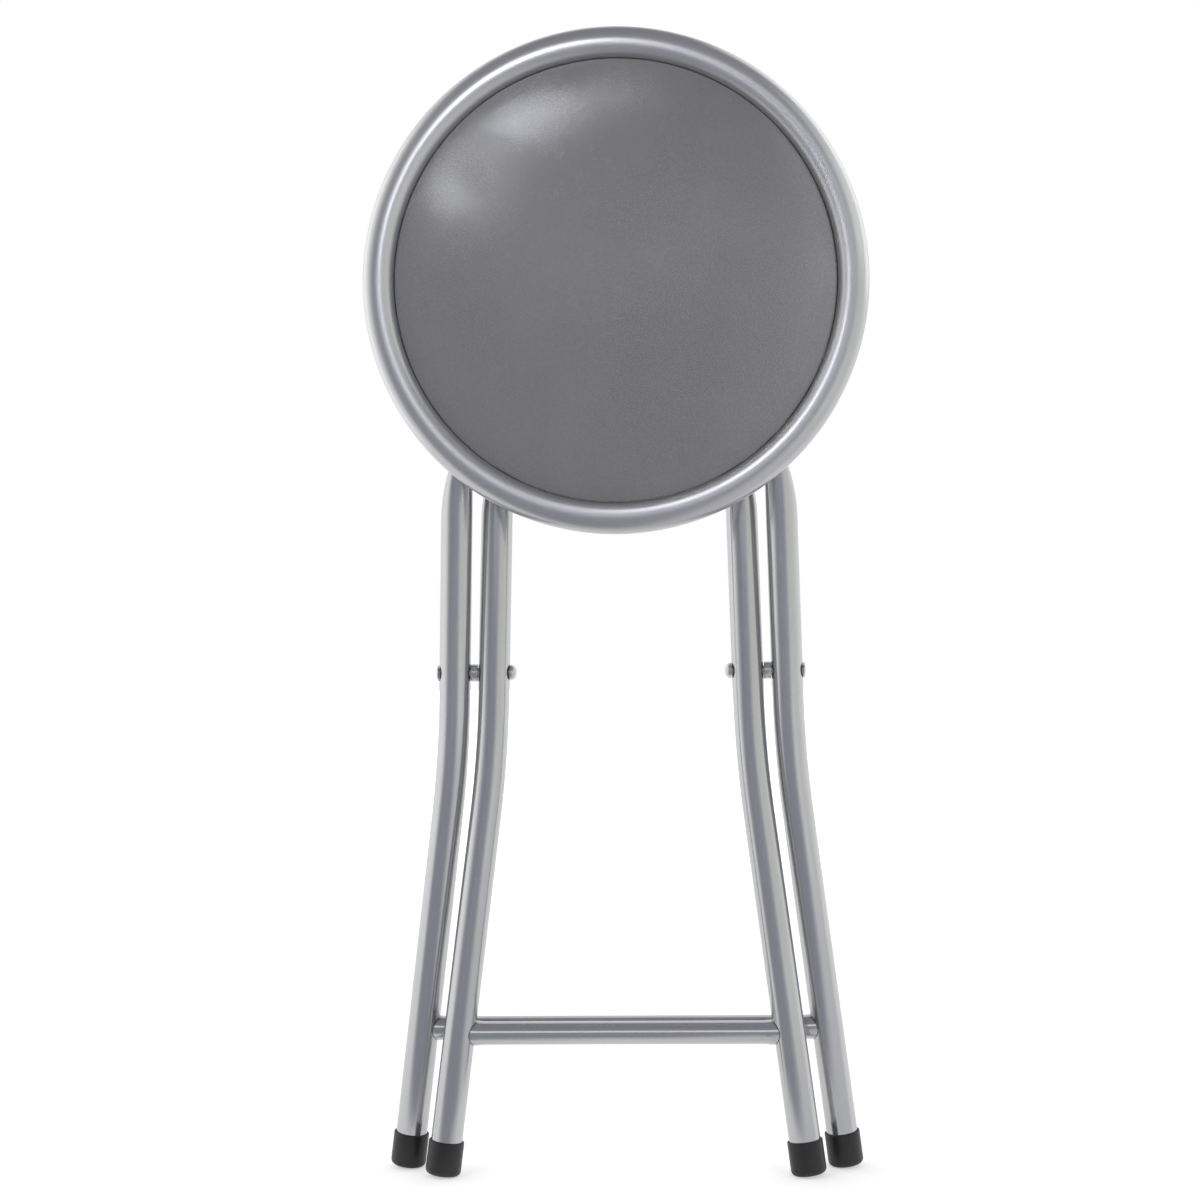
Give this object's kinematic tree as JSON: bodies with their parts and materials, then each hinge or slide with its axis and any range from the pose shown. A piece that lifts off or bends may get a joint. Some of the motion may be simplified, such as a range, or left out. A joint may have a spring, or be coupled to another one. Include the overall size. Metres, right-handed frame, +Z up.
{
  "type": "folding stool",
  "caption": "Folding stool: round padded seat in a tube ring, hinged over crossed tubular leg frames on riveted pivots, with crossbars and push-on foot caps.",
  "frame": {"origin": "middle of the underside of the folded stool's box, on the floor", "axes": "+Z up along the folded legs, -Y the way the folded seat's top faces, +X to the right seen from there"},
  "size_m": [0.3, 0.0692, 0.6853],
  "materials": {
    "silver_paint": "satin",
    "bright_steel": "satin",
    "black_plastic": "matte",
    "grey_vinyl": "satin",
    "foam": "matte",
    "board": "matte"
  },
  "bodies": {
    "pivot": {"pivot_rivet_left": "bright_steel", "pivot_rivet_right": "bright_steel", "pivot_spacer_left": "silver_paint", "pivot_spacer_right": "silver_paint"},
    "outer_frame": {"outer_leg_left": "silver_paint", "outer_leg_right": "silver_paint", "outer_crossbar": "silver_paint", "outer_foot_cap_left": "black_plastic", "outer_foot_cap_right": "black_plastic"},
    "inner_frame": {"inner_leg_left": "silver_paint", "inner_leg_right": "silver_paint", "inner_crossbar": "silver_paint", "catch_rod": "bright_steel", "inner_foot_cap_left": "black_plastic", "inner_foot_cap_right": "black_plastic"},
    "seat": {"seat_ring": "silver_paint", "seat_board": "board", "seat_foam": "foam", "seat_cover": "grey_vinyl", "front_strap": "silver_paint", "rear_strap": "silver_paint", "hinge_bracket_left": "bright_steel", "hinge_bracket_right": "bright_steel", "hinge_rivet_left": "bright_steel", "hinge_rivet_right": "bright_steel", "rod_catch_left": "bright_steel", "rod_catch_right": "bright_steel", "board_screw_front_left": "bright_steel", "board_screw_front_right": "bright_steel", "board_screw_rear_left": "bright_steel", "board_screw_rear_right": "bright_steel"}
  },
  "joints": [
    {"name": "outer_swing", "type": "hinge", "parent": "pivot", "child": "outer_frame", "pos_m": [0, 0.01237, 0.30279], "axis": [1, 0, 0], "range_deg": [0, 24.79]},
    {"name": "inner_swing", "type": "hinge", "parent": "pivot", "child": "inner_frame", "pos_m": [0, 0.01237, 0.30279], "axis": [-1, 0, 0], "range_deg": [0, 24.79]},
    {"name": "seat_fold", "type": "hinge", "parent": "outer_frame", "child": "seat", "pos_m": [0, 0.00619, 0.46267], "axis": [-1, 0, 0], "range_deg": [0, 114.79]}
  ],
  "couplings": [
    {"joint": "outer_swing", "follows": "seat_fold", "ratio": 0.21594},
    {"joint": "inner_swing", "follows": "seat_fold", "ratio": 0.21594}
  ]
}
